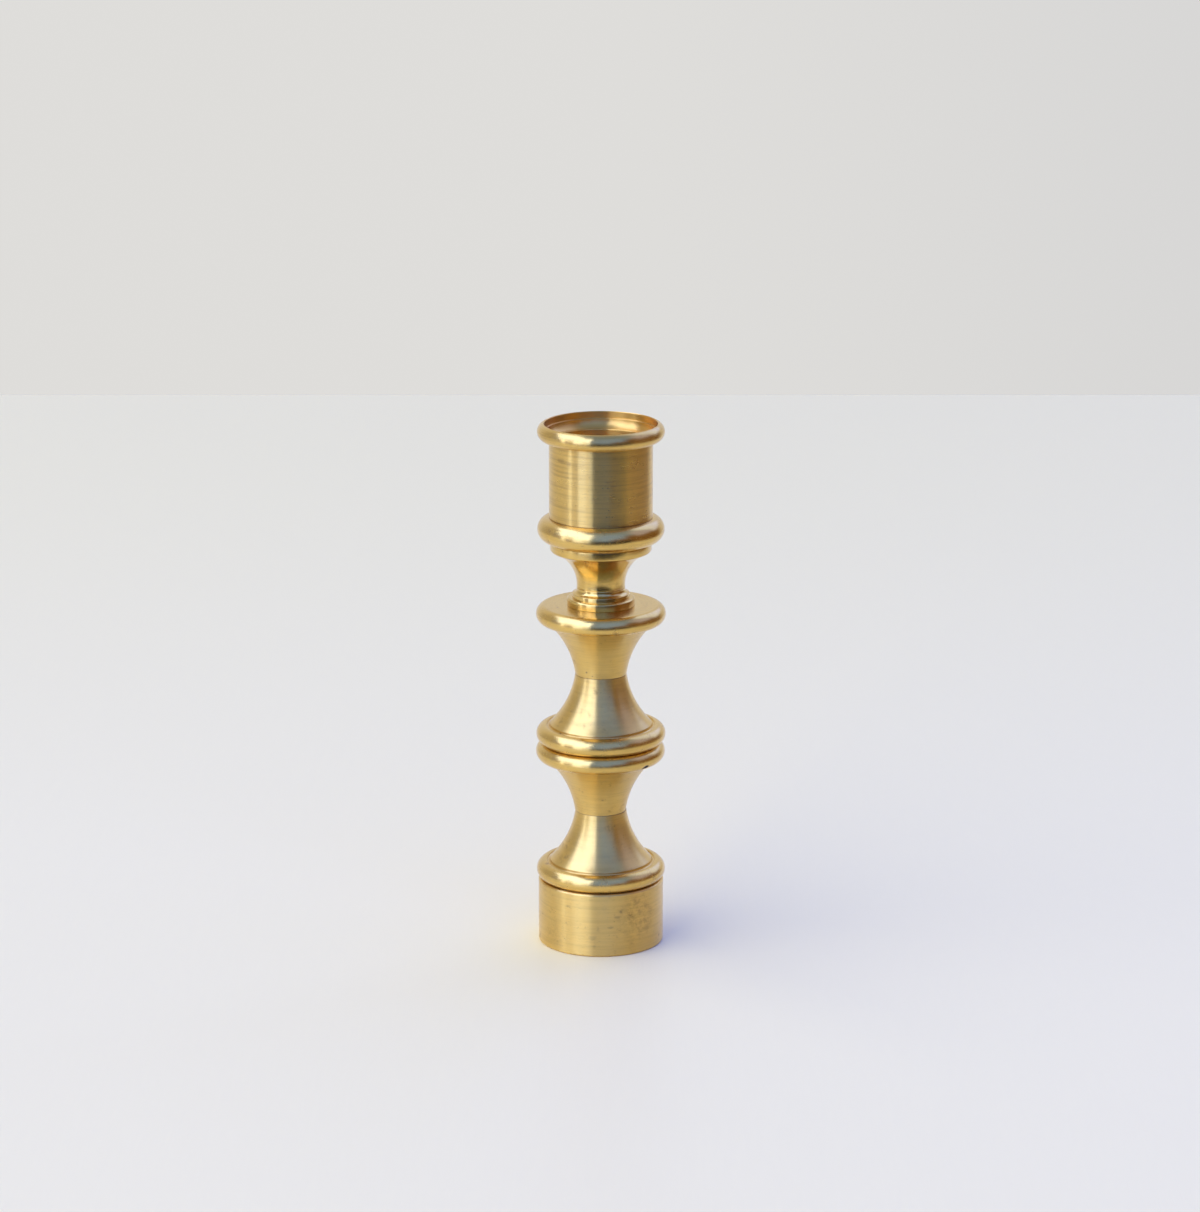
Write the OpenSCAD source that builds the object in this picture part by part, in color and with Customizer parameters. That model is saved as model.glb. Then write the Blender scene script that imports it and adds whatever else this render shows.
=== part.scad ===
// Candle holder of turned brass for one taper candle.
// A base drum, four like bells set face to face and waist to waist, a stem neck,
// a foot ring and a candle cup stand on one axis, and a rod up the middle draws them together.
// Millimetres, Z up. The origin is the middle of the foot face, on the table.

/* [Base drum] */
// Diameter of the base drum
drum_d = 31.1; // [26:0.1:36]
// Height of the base drum
drum_h = 16.1; // [14.5:0.1:24]
// Edge break on the drum's rims
drum_edge = 0.3; // [0.1:0.05:0.8]
// Diameter of the nut pocket in the foot face
pocket_d = 18; // [15:0.5:22]

/* [Bells] */
// Diameter over a bell's bead
bell_d = 32; // [29:0.1:36]
// Height of one bell, from its flat face to its waist end
bell_h = 17.55; // [14:0.05:24]
// Thickness of a bell's bead, which has a full round edge
bead_t = 4.5; // [3:0.1:5.5]
// Diameter of the lip, where the hollow flare ends above the bead
lip_d = 25.3; // [22:0.1:27]
// Height of the lip above the top of the bead
lip_rise = 0.35; // [0.2:0.05:1]
// Radius of the quirk, the small groove between the lip and the bead
quirk_r = 0.4; // [0.2:0.05:0.5]
// Diameter of a bell's waist end
waist_d = 12.7; // [10:0.1:16]
// Radius of the hollow flare
flare_r = 22.5; // [14:0.5:40]
// Edge break on a bell's waist end
waist_edge = 0.15; // [0.05:0.05:0.4]

/* [Stem neck] */
// Diameter of the collar at the foot of the neck
collar_d = 16.6; // [15.5:0.1:22]
// Height of the collar
collar_h = 1.95; // [1:0.05:4]
// Height of the step on the collar
step_h = 1.1; // [0.5:0.05:3]
// Radius of the cove from the step up into the neck
foot_cove_r = 1.1; // [0.5:0.05:1.5]
// Diameter of the neck
neck_d = 11.9; // [9:0.1:13]
// Length of straight neck between its two coves
neck_straight = 0.85; // [0.2:0.05:4]
// Radius of the cove that carries the neck out to the ledge
neck_cove_r = 9.2; // [8:0.1:12]
// How far the ledge under the cup stays inside the line of the tube
ledge_inset = 0.2; // [0:0.05:1.5]
// Thickness of the ledge at its rim
ledge_t = 2.35; // [1.2:0.05:4]
// Edge break on the collar and the ledge
neck_edge = 0.3; // [0.1:0.05:0.5]

/* [Foot ring] */
// Height of the foot ring, which has a full round edge
ring_h = 6; // [5.2:0.1:7]

/* [Candle cup] */
// Diameter of the bore that takes the candle
candle_d = 22.5; // [19:0.1:25]
// Wall of the tube round the bore
tube_wall = 1.45; // [1:0.05:2.5]
// Height of the cup, from its shoulder on the foot ring to the crest of the rim
tube_h = 23.4; // [18:0.1:34]
// Reach of the rim's bead and the foot ring's bead beyond the tube
bead_reach = 2.9; // [2.2:0.1:4.5]
// Width of the shoulder that bears on the foot ring
shoulder_w = 1.7; // [1:0.05:3]
// Thickness of the cup's floor above its shoulder
floor_t = 1.1; // [0.8:0.1:6]
// Thickness of the rim's bead, which has a full round edge
rim_t = 4.2; // [4:0.1:5]
// Width of the rim, from the mouth to the outside of the bead
rim_w = 1.75; // [1.2:0.05:2.6]
// Depth of the mouth down to its narrow ledge
mouth_depth = 1.8; // [1:0.05:2]
// Width of the narrow ledge inside the mouth
mouth_ledge_w = 0.55; // [0.2:0.05:0.8]
// Depth of the second step, below the narrow ledge
dish_depth = 1.25; // [0.6:0.05:1.4]
// Fall of the dished floor from the second step to the candle bore
dish_fall = 1.05; // [0.5:0.05:1.2]
// Edge break on the cup's lips and on the candle bore
cup_edge = 0.15; // [0.05:0.05:0.3]

/* [Rod and nut] */
// Outer diameter of the rod's thread
rod_d = 6; // [5:0.5:7]
// Play all round the rod in the holes that it passes through
rod_play = 0.3; // [0.1:0.05:0.6]
// Depth to which the rod is screwed into the cup
rod_grip = 5.2; // [3:0.1:5.6]
// Length of rod that stands out below the nut
rod_tail = 1.1; // [0.3:0.1:3]
// Height of the rod's end above the table
rod_lift = 1.2; // [0.5:0.1:3]
// Width of the nut across its flats
nut_af = 10; // [9:0.5:11]
// Height of the nut
nut_h = 5; // [3:0.1:5.5]
// Diameter of the flat washer
washer_d = 12; // [10.5:0.5:14]
// Thickness of the flat washer
washer_t = 1.6; // [0.8:0.1:2]
// Outer diameter of the spring washer
spring_d = 11; // [10:0.1:12]
// Thickness of the spring washer
spring_t = 1.6; // [0.8:0.1:2]
// Width of the split in the spring washer
split_w = 0.8; // [0.4:0.1:2]

/* [Hidden] */
$fn = 96;

// Play between a thread and its nut or tapped hole, and between the spigot and the foot ring
thread_play = 0.03;
ring_play = 0.05;
// Gap under the spigot, so that the cup bears on the foot ring and not on the ledge
spigot_gap = 0.1;
// Room past the rod's end in its tapped hole
rod_room = 0.4;
// Edge breaks on the rod holes and the rod's ends
hole_edge = 0.4;
rod_edge = 0.6;
// Share of the nut's flat width that its bevel leaves as a flat face
nut_face_share = 0.93;
// How far every cut runs past the surface that it opens
overrun = 1;
// Slopes of the nut's bevel and of the split in the spring washer
bevel_slope = 30;
split_lean = 25;

drum_r = drum_d / 2;
pocket_h = rod_lift + rod_tail + nut_h + spring_t + washer_t;
waist_r = waist_d / 2;
lip_r = lip_d / 2;
lip_z = bead_t + lip_rise;
rod_r = rod_d / 2;
rod_hole_r = rod_r + rod_play;
thread_r = rod_r + thread_play;

neck_r = neck_d / 2;
step_r = neck_r + foot_cove_r;
step_z = collar_h + step_h;
foot_cove_z = step_z + foot_cove_r;
neck_cove_z = foot_cove_z + neck_straight;
candle_r = candle_d / 2;
tube_r = candle_r + tube_wall;
ledge_r = tube_r - ledge_inset;
neck_cove_x = neck_r + neck_cove_r;
ledge_under_z = neck_cove_z + sqrt(pow(neck_cove_r, 2) - pow(neck_cove_x - ledge_r, 2));
ledge_z = ledge_under_z + ledge_t;

cup_bead_r = tube_r + bead_reach;
spigot_r = tube_r - shoulder_w;
mouth_r = cup_bead_r - rim_w;
dish_r = mouth_r - mouth_ledge_w;
mouth_z = tube_h - mouth_depth;
dish_z = mouth_z - dish_depth;
bore_z = dish_z - dish_fall;

// Heights above the table at which the pieces sit
lower_spool_z = drum_h;
upper_spool_z = lower_spool_z + 2 * bell_h;
neck_z = upper_spool_z + 2 * bell_h;
ring_z = neck_z + ledge_z;
cup_z = ring_z + ring_h;
rod_z = rod_lift;
rod_top_z = ring_z + spigot_gap + rod_grip;
nut_z = rod_z + rod_tail;
spring_z = nut_z + nut_h;
washer_z = spring_z + spring_t;

// Middle of the circle of radius r through points a and b, on the outer side of a rising line
function arc_middle(a, b, r) =
    let (run = b - a, half = norm(run) / 2)
    (a + b) / 2 + [run[1], -run[0]] / norm(run) * sqrt(r * r - half * half);

// Every turned piece is half an outline, spun about the Z axis
module turned(tint) {
    color(tint) rotate_extrude() children();
}

// A disc with a full round edge, standing on its flat face
module bead_outline(r, t) {
    square([r - t / 2, t]);
    translate([r - t / 2, t / 2]) circle(d = t);
}

// A small square on its corner, which breaks an edge at a point
module edge_break(x, z, size) {
    translate([x, z]) rotate(45) square(size * sqrt(2), center = true);
}

// The rod hole with its two broken edges
module rod_hole_outline(length) {
    translate([0, -overrun]) square([rod_hole_r, length + 2 * overrun]);
    edge_break(rod_hole_r, 0, hole_edge);
    edge_break(rod_hole_r, length, hole_edge);
}

// Drum with the nut pocket in its foot face
module drum_outline() {
    difference() {
        square([drum_r, drum_h]);
        translate([0, -overrun]) square([pocket_d / 2, pocket_h + overrun]);
        translate([0, pocket_h]) rod_hole_outline(drum_h - pocket_h);
        edge_break(drum_r, 0, drum_edge);
        edge_break(drum_r, drum_h, drum_edge);
        edge_break(pocket_d / 2, 0, drum_edge);
    }
}

// Hollow flare from the lip up to the waist end
module flare_outline() {
    difference() {
        square([lip_r, bell_h]);
        translate(arc_middle([lip_r, lip_z], [waist_r, bell_h], flare_r)) circle(r = flare_r, $fn = 360);
        edge_break(waist_r, bell_h, waist_edge);
    }
}

// Bell standing on its flat face: bead, quirk, lip and flare
module bell_outline() {
    difference() {
        union() {
            bead_outline(bell_d / 2, bead_t);
            flare_outline();
        }
        translate([lip_r + quirk_r, bead_t]) circle(r = quirk_r);
        rod_hole_outline(bell_h);
    }
}

// Neck: collar, step, foot cove, shaft, long cove and ledge
module neck_outline() {
    difference() {
        union() {
            square([collar_d / 2, collar_h]);
            difference() {
                square([step_r, foot_cove_z]);
                translate([step_r, foot_cove_z]) circle(r = foot_cove_r);
            }
            square([neck_r, ledge_z]);
            difference() {
                translate([0, neck_cove_z]) square([ledge_r, ledge_z - neck_cove_z]);
                translate([neck_cove_x, neck_cove_z]) circle(r = neck_cove_r, $fn = 240);
            }
        }
        edge_break(collar_d / 2, collar_h, neck_edge);
        edge_break(ledge_r, ledge_under_z, neck_edge);
        edge_break(ledge_r, ledge_z, neck_edge);
        rod_hole_outline(ledge_z);
    }
}

// Foot ring: a full round bead, bored for the cup's spigot
module ring_outline() {
    difference() {
        bead_outline(cup_bead_r, ring_h);
        translate([0, -overrun]) square([spigot_r + ring_play, ring_h + 2 * overrun]);
        edge_break(spigot_r + ring_play, 0, cup_edge);
    }
}

// Mouth of the cup, from the crest down: wide mouth, second step, dished floor, candle bore
module mouth_outline() {
    translate([0, mouth_z]) square([mouth_r, mouth_depth + overrun]);
    edge_break(mouth_r, tube_h, cup_edge);
    polygon([[0, floor_t], [candle_r, floor_t], [candle_r, bore_z], [dish_r, dish_z],
             [dish_r, mouth_z + overrun / 2], [0, mouth_z + overrun / 2]]);
    edge_break(candle_r, bore_z, cup_edge);
}

// Cup with its shoulder at height zero and its spigot below
module cup_outline() {
    spigot_h = ring_h - spigot_gap;
    difference() {
        union() {
            square([tube_r, tube_h - rim_t / 2]);
            translate([0, tube_h - rim_t]) bead_outline(cup_bead_r, rim_t);
            translate([0, -spigot_h]) square([spigot_r, spigot_h + floor_t / 2]);
        }
        mouth_outline();
        edge_break(spigot_r, -spigot_h, cup_edge);
        translate([0, -spigot_h - overrun]) square([thread_r, rod_grip + rod_room + overrun]);
        edge_break(thread_r, -spigot_h, hole_edge);
    }
}

// Threaded rod from the nut pocket up into the cup's floor
module rod_outline(length) {
    difference() {
        square([rod_r, length]);
        edge_break(rod_r, 0, rod_edge);
        edge_break(rod_r, length, rod_edge);
    }
}

module base_drum() {
    turned("#c9a45c") drum_outline();
}

module foot_bell(z) {
    translate([0, 0, z]) turned("#d6b05e") bell_outline();
}

module head_bell(z) {
    translate([0, 0, z + bell_h]) mirror([0, 0, 1]) turned("#cfa957") bell_outline();
}

module stem_neck() {
    translate([0, 0, neck_z]) turned("#d0a24a") neck_outline();
}

module cup_foot_ring() {
    translate([0, 0, ring_z]) turned("#dcb868") ring_outline();
}

module candle_cup() {
    translate([0, 0, cup_z]) turned("#c39d55") cup_outline();
}

module tie_rod() {
    translate([0, 0, rod_z]) turned("#b9bcc0") rod_outline(rod_top_z - rod_z);
}

module rod_washer() {
    translate([0, 0, washer_z]) color("#b4b7ba") difference() {
        cylinder(d = washer_d, h = washer_t);
        translate([0, 0, -overrun]) cylinder(r = rod_hole_r, h = washer_t + 2 * overrun);
    }
}

// Split ring whose cut leans, so that it bites when the nut is drawn up
module spring_washer() {
    translate([0, 0, spring_z]) color("#9da1a6") difference() {
        cylinder(d = spring_d, h = spring_t);
        translate([0, 0, -overrun]) cylinder(r = rod_hole_r, h = spring_t + 2 * overrun);
        translate([0, 0, spring_t / 2]) rotate([split_lean, 0, 0])
            translate([0, -split_w / 2, -spring_t - overrun])
                cube([spring_d, split_w, 2 * (spring_t + overrun)]);
    }
}

// Hexagon nut, bevelled at both faces, with its tapped hole
module rod_nut() {
    corner_r = nut_af / 2 / cos(30);
    face_r = nut_face_share * nut_af / 2;
    bevel_h = (corner_r - face_r) * tan(bevel_slope);
    translate([0, 0, nut_z]) color("#aeb1b5") difference() {
        intersection() {
            cylinder(r = corner_r, h = nut_h, $fn = 6);
            rotate_extrude() polygon([
                [0, 0], [face_r, 0], [corner_r, bevel_h], [corner_r, nut_h - bevel_h], [face_r, nut_h], [0, nut_h]
            ]);
        }
        translate([0, 0, -overrun]) cylinder(r = thread_r, h = nut_h + 2 * overrun);
    }
}

base_drum();
foot_bell(lower_spool_z);  // lower_spool_foot_bell
head_bell(lower_spool_z + bell_h);  // lower_spool_head_bell
foot_bell(upper_spool_z);  // upper_spool_foot_bell
head_bell(upper_spool_z + bell_h);  // upper_spool_head_bell
stem_neck();
cup_foot_ring();
candle_cup();
tie_rod();
rod_washer();
spring_washer();
rod_nut();
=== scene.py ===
import math
import bmesh
import bpy
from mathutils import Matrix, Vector


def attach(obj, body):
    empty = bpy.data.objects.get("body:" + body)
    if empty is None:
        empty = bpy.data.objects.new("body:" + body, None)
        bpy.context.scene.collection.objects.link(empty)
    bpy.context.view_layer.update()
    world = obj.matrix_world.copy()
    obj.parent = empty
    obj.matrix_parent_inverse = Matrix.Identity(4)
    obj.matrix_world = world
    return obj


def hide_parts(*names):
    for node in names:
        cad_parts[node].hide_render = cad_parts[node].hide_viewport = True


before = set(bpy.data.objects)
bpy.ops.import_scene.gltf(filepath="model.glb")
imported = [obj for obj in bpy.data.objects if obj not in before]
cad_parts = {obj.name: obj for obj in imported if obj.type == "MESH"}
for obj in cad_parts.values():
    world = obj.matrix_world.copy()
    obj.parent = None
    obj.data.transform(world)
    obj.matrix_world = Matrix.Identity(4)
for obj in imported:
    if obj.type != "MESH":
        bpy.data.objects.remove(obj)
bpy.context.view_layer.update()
mm = 0.001              # one millimetre in metres, the frame's unit
weld = 0.0005 * mm      # points nearer than this are one
slight = (0.1, 3)       # rounding of an edge: radius and parts
fineBreak = (0.08, 3)
evenWeight = 60         # strength of the weighted normals


# modelling helpers: everything is drawn in millimetres round the Z axis

def quiet():
    # an operator works on all that is selected, so nothing is left selected
    if bpy.context.object and bpy.context.object.mode != "OBJECT":
        bpy.ops.object.mode_set(mode="OBJECT")
    bpy.ops.object.select_all(action="DESELECT")


def pick(piece, kind, test):
    # in edit mode, selects only the verts, edges or faces that pass the test
    bpy.ops.mesh.select_mode(type={"verts": "VERT", "edges": "EDGE", "faces": "FACE"}[kind])
    bpy.ops.mesh.select_all(action="DESELECT")
    shape = bmesh.from_edit_mesh(piece.data)
    found = [part for part in getattr(shape, kind) if test(part)]
    for part in found:
        part.select_set(True)
    shape.select_flush_mode()
    bmesh.update_edit_mesh(piece.data)
    return len(found)


def swung(point, middle, degrees):
    # where a point of the outline lands when it swings anticlockwise about a middle
    turn = math.radians(degrees)
    x, z = point[0] - middle[0], point[1] - middle[1]
    return (middle[0] + x * math.cos(turn) - z * math.sin(turn),
            middle[1] + x * math.sin(turn) + z * math.cos(turn))


def swingTo(point, middle, end):
    # the angle from point to end about a middle, the short way round
    start = math.atan2(point[1] - middle[1], point[0] - middle[0])
    stop = math.atan2(end[1] - middle[1], end[0] - middle[0])
    return (math.degrees(stop - start) + 180) % 360 - 180


def drawOutline(name, start, path):
    # a plane merged to one point is extruded along straight runs (x, z)
    # and spun along arcs (middle x, middle z, degrees, parts)
    quiet()
    bpy.ops.mesh.primitive_plane_add(size=mm, location=(start[0] * mm, 0, start[1] * mm))
    piece = bpy.context.object
    piece.name = piece.data.name = name
    bpy.ops.object.transform_apply(location=True, rotation=False, scale=False)
    bpy.ops.object.mode_set(mode="EDIT")
    bpy.ops.mesh.select_mode(type="VERT")
    bpy.ops.mesh.merge(type="CENTER")
    at = start
    for step in path:
        if len(step) == 2:
            bpy.ops.mesh.extrude_region_move(
                TRANSFORM_OT_translate={"value": ((step[0] - at[0]) * mm, 0, (step[1] - at[1]) * mm)})
            at = step
        else:
            middle, degrees, parts = step[:2], step[2], step[3]
            bpy.ops.mesh.spin(steps=parts, angle=math.radians(degrees),
                              center=(middle[0] * mm, 0, middle[1] * mm), axis=(0, 1, 0))
            at = swung(at, middle, degrees)
    bpy.ops.mesh.select_all(action="SELECT")
    bpy.ops.mesh.remove_doubles(threshold=weld)
    return piece


def softenCorners(piece, corners):
    # rounds the corners of the outline: (x, z, radius, parts)
    near = 0.02 * mm
    for x, z, radius, parts in corners:
        found = pick(piece, "verts", lambda v: max(abs(v.co.x - x * mm), abs(v.co.z - z * mm)) < near)
        if found != 1:
            print("corner not found once:", piece.name, x, z, found)
            continue
        bpy.ops.mesh.bevel(offset=radius * mm, offset_type="OFFSET", segments=parts, affect="VERTICES")


def latheTurn(piece, steps):
    # spins the outline about Z, closes the seam and the poles, and turns the faces outwards
    bpy.ops.mesh.select_all(action="SELECT")
    bpy.ops.mesh.spin(steps=steps, angle=2 * math.pi, center=(0, 0, 0), axis=(0, 0, 1))
    bpy.ops.mesh.select_all(action="SELECT")
    bpy.ops.mesh.remove_doubles(threshold=weld)
    bpy.ops.mesh.dissolve_degenerate(threshold=weld / 5)
    bpy.ops.mesh.normals_make_consistent(inside=False)
    bpy.ops.object.mode_set(mode="OBJECT")


def liftTo(piece, height, upsideDown=False, aside=0):
    # sets a finished turning at its height in the stack, turned over if need be, and applies the move
    quiet()
    piece.select_set(True)
    bpy.context.view_layer.objects.active = piece
    if upsideDown:
        piece.rotation_euler = (math.pi, 0, 0)
    piece.location = (aside * mm, 0, height * mm)
    bpy.ops.object.transform_apply(location=True, rotation=True, scale=True)


def dent(piece, place, push, width):
    # a small knock: the vertex nearest to the place is pushed in with smooth proportional editing
    quiet()
    piece.select_set(True)
    bpy.context.view_layer.objects.active = piece
    bpy.ops.object.mode_set(mode="EDIT")
    spot = Vector(place) * mm
    shape = bmesh.from_edit_mesh(piece.data)
    nearest = min(shape.verts, key=lambda v: (v.co - spot).length_squared)
    pick(piece, "verts", lambda v: v.index == nearest.index)
    bpy.ops.transform.translate(value=Vector(push) * mm, use_proportional_edit=True,
                                proportional_edit_falloff="SMOOTH", proportional_size=width * mm)
    bpy.ops.object.mode_set(mode="OBJECT")


def finishPiece(piece, node, material, angle=40):
    # evens the shading of long and short faces, gives the finish, and ties the piece to its body
    quiet()
    piece.select_set(True)
    bpy.context.view_layer.objects.active = piece
    bpy.ops.object.shade_smooth_by_angle(angle=math.radians(angle))
    even = piece.modifiers.new("evenShading", "WEIGHTED_NORMAL")
    even.keep_sharp = True
    even.weight = evenWeight
    bpy.ops.object.modifier_apply(modifier=even.name)
    piece.data.materials.clear()
    piece.data.materials.append(material)
    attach(piece, "root")
    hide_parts(node)


# shader helpers: an expression on wires adds its Math nodes, and Finish.node adds every other kind

class Wire:
    def __init__(self, finish, socket):
        self.finish = finish
        self.socket = socket

    def maths(self, operation, *others):
        return self.finish.node("ShaderNodeMath", {"operation": operation}, dict(enumerate((self, *others))))

    def __add__(self, other):
        return self.maths("ADD", other)

    def __radd__(self, other):
        return self.maths("ADD", other)

    def __sub__(self, other):
        return self.maths("SUBTRACT", other)

    def __rsub__(self, other):
        return self.finish.node("ShaderNodeMath", {"operation": "SUBTRACT"}, {0: other, 1: self})

    def __mul__(self, other):
        return self.maths("MULTIPLY", other)

    def __rmul__(self, other):
        return self.maths("MULTIPLY", other)

    def __truediv__(self, other):
        return self.maths("DIVIDE", other)

    def __pow__(self, other):
        return self.maths("POWER", other)

    def ease(self, low, high):
        # 0 below low, 1 above high, smooth in between
        return self.finish.node("ShaderNodeMapRange", {"interpolation_type": "SMOOTHSTEP"},
                                {"Value": self, "From Min": low, "From Max": high})

    def within(self, low, high, soft):
        return self.ease(low - soft, low + soft) * (1 - self.ease(high - soft, high + soft))


class Finish:
    def __init__(self, owner):
        owner.use_nodes = True
        self.tree = owner.node_tree
        self.shader = self.tree.nodes.get("Principled BSDF")

    def node(self, kind, settings, sockets, out=0):
        # the settings are set first, then the values or links of the sockets
        made = self.tree.nodes.new(kind)
        for name, value in settings.items():
            setattr(made, name, value)
        for name, value in sockets.items():
            if isinstance(value, Wire):
                self.tree.links.new(value.socket, made.inputs[name])
            else:
                made.inputs[name].default_value = value
        return Wire(self, made.outputs[out]) if len(made.outputs) else made

    def other(self, wire, name):
        # another output of the node that a wire comes from
        return Wire(self, wire.socket.node.outputs[name])

    def mix(self, factor, first, second):
        # colours are mixed here, because a Math node would turn them grey
        first, second = [c if isinstance(c, Wire) else (*c, 1) for c in (first, second)]
        return self.node("ShaderNodeMix", {"data_type": "RGBA"}, {0: factor, 6: first, 7: second}, out=2)

    def split(self, vector):
        first = self.node("ShaderNodeSeparateXYZ", {}, {0: vector})
        return first, self.other(first, 1), self.other(first, 2)

    def join(self, x, y, z):
        return self.node("ShaderNodeCombineXYZ", {}, {0: x, 1: y, 2: z})

    def noise(self, vector, scale, detail=3.0, roughness=0.5):
        return self.node("ShaderNodeTexNoise", {}, {"Vector": vector, "Scale": scale, "Detail": detail,
                                                    "Roughness": roughness})

    def feed(self, **wires):
        # links what varies to the shader's sockets
        for name, wire in wires.items():
            self.tree.links.new(wire.socket, self.shader.inputs[name.replace("_", " ")])

    def bump(self, height):
        # height in millimetres
        return self.node("ShaderNodeBump", {}, {"Height": height, "Strength": 1.0, "Distance": mm})

    def fix(self, values):
        for name, value in values.items():
            self.shader.inputs[name].default_value = value


# camera at the photograph's place

camera = {
    "focal": 4270.0,       # focal length in pixels of the photograph
    "pitch": 14.7,         # degrees down
    "away": 1050.0,        # from the point it aims at
    "aimHeight": 85.8,
    "frame": (1200, 1212),
    "axisColumn": 600.9,   # where the holder's axis stands in the photograph
    "sensor": 36.0,
    "sees": (0.01, 60.0),  # from and to, in metres
}


def placeCamera():
    quiet()
    tilt = math.radians(camera["pitch"])
    aside = (camera["frame"][0] / 2 - camera["axisColumn"]) / camera["focal"] * camera["away"]
    bpy.ops.object.camera_add(
        location=(aside * mm, -camera["away"] * math.cos(tilt) * mm,
                  (camera["aimHeight"] + camera["away"] * math.sin(tilt)) * mm),
        rotation=(math.pi / 2 - tilt, 0, 0))
    eye = bpy.context.object
    eye.name = "photoCamera"
    eye.data.sensor_fit = "AUTO"
    eye.data.sensor_width = camera["sensor"]
    eye.data.lens = camera["sensor"] * camera["focal"] / camera["frame"][1]
    eye.data.clip_start, eye.data.clip_end = camera["sees"]
    bpy.context.scene.camera = eye


placeCamera()
bpy.context.scene.view_settings.view_transform = "Standard"
print("camera placed")


# room: a world that differs by direction, the table, and the window's panes as soft lamps

room = {
    "wallTone": (0.735, 0.725, 0.705), "wallShade": (0.675, 0.67, 0.665),
    "shadeSide": (-0.02, 0.2),          # how far to the right the wall turns to its shade
    "wallBearing": (120, 150),          # degrees from the camera's side where the wall begins
    "wallTop": (45, 70),                # degrees of height where it ends
    "floorTone": (0.80, 0.80, 0.80),
    "floorAhead": (0.6, 0.8), "floorBelow": (-0.02, 0.0),      # past these the wall's tone takes over
    "above": (0.25, 0.37, 0.88),
}

lowest = -200       # an end that no direction reaches

areas = {
    # what lights the room by direction, each area laid over those before it
    # bearing (0 towards the camera, 90 to the right) and height: from, to and half of the soft edge, degrees
    "front": {"bearing": (-15, 60, 25), "height": (-10, 62, 10), "light": (0.28, 0.48, 1.60)},
    "leftWall": {"bearing": (-150, -95, 10), "height": (-90, 45, 8), "light": (0.52, 0.51, 0.54)},
    "leftLow": {"bearing": (-95, -25, 10), "height": (-90, 20, 8), "light": (0.47, 0.46, 0.62)},
    "rightRoom": {"bearing": (48, 140, 10), "height": (lowest, 38, 10), "light": (0.22, 0.125, 0.055)},
    "rightUpper": {"bearing": (74, 116, 8), "height": (24, 58, 8), "light": (0.50, 0.54, 1.30)},
    "rightWindow": {"bearing": (118, 166, 8), "height": (17, 58, 6), "light": (0.90, 1.12, 2.40)},
    "rightNear": {"bearing": (20, 70, 10), "height": (lowest, 17, 7), "light": (0.22, 0.125, 0.055)},
    "frontLow": {"bearing": (-20, 60, 8), "height": (lowest, 2, 8), "light": (0.04, 0.04, 0.05)},
}

bright = (1.75, 2.12, 4.2)

panes = {
    # span in degrees: bearing from and to (0 towards the camera, -90 to the left), height from and to
    # shine: radiance mirrored in metal
    "mainPane": {"span": (-51, -19.5, 14, 62), "shine": bright},
    "mainFoot": {"span": (-51, -33, -14, 14), "shine": (1.14, 1.52, 3.05)},
    "rightFoot": {"span": (-33, -19.5, -14, 14), "shine": (0.75, 0.9, 1.45)},
    "bridgePane": {"span": (-69.5, -51, 25, 69), "shine": bright},
    "gapPane": {"span": (-68, -51, 4, 25), "shine": (0.8, 0.95, 1.6)},
    "stripPane": {"span": (-75, -68, -14, 18), "shine": (1.35, 1.65, 2.8)},
    "lowPane": {"span": (-86.5, -69.5, 18, 33), "shine": bright},
    "sidePane": {"span": (-100, -69.5, 33, 72), "shine": bright},
    "highPane": {"span": (-138, -100, 45, 70), "shine": bright},
}

lamps = {
    "lightAway": 4.0, "shineAway": 3.9,     # metres from the axis
    "light": (2.17, 2.0, 0.84),             # radiance of every pane on matt things
    "sky": (0.13, 0.27, 0.65),              # the same of a broad cool lamp overhead, which fills the shadow
    "skySize": 2.0, "skyHeight": 2.5,
}

table = {
    "left": -4, "right": 0.32, "front": -0.187, "back": 0.66,
    "colour": (0.93, 0.85, 0.645), "darkColour": (0.90, 0.82, 0.62),
    "farColour": (0.893, 0.81, 0.565), "far": (-0.1, 0.6),      # the table is painted darker and warmer from here to there: painted shade of its far part
    "grain": (900, 55), "broad": 6.0,   # noise scales per metre: across and along the grain, and broad tones
    "grainDepth": 0.04,
    "roughness": 0.45,
}


def buildWorld():
    world = bpy.data.worlds.new("room")
    bpy.context.scene.world = world
    air = Finish(world)
    air.tree.nodes.clear()
    x, y, z = air.split(air.node("ShaderNodeTexCoord", {}, {}))
    bearing = x.maths("ARCTAN2", y * -1) * (180 / math.pi)
    height = z.maths("ARCSINE") * (180 / math.pi)
    wall = air.mix(x.ease(*room["shadeSide"]), room["wallTone"], room["wallShade"])
    behind = bearing.maths("ABSOLUTE").ease(*room["wallBearing"]) * (1 - height.ease(*room["wallTop"]))
    light = room["above"]
    over = {}
    for name, area in areas.items():
        over[name] = bearing.within(*area["bearing"]) * height.within(*area["height"])
        light = air.mix(over[name], light, area["light"])
        if name == "front":
            light = air.mix(behind, light, wall)
    # away from the back wall, what shows past the table's edge is as pale as the table
    away = (1 - y.ease(*room["floorAhead"])) * (1 - z.ease(*room["floorBelow"]))
    shown = air.mix(away, wall, room["floorTone"])
    seen = air.node("ShaderNodeBackground", {}, {"Color": shown, "Strength": 1.0})
    lit = air.node("ShaderNodeBackground", {}, {"Color": light, "Strength": 1.0})
    cameraRay = air.node("ShaderNodeLightPath", {}, {})
    mirrored = air.other(cameraRay, "Is Glossy Ray") + air.other(cameraRay, "Is Transmission Ray")
    showing = cameraRay.maths("MAXIMUM", mirrored * behind * (1 - over["rightWindow"]))
    both = air.node("ShaderNodeMixShader", {}, {0: showing, 1: lit, 2: seen})
    air.node("ShaderNodeOutputWorld", {}, {"Surface": both})


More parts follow.
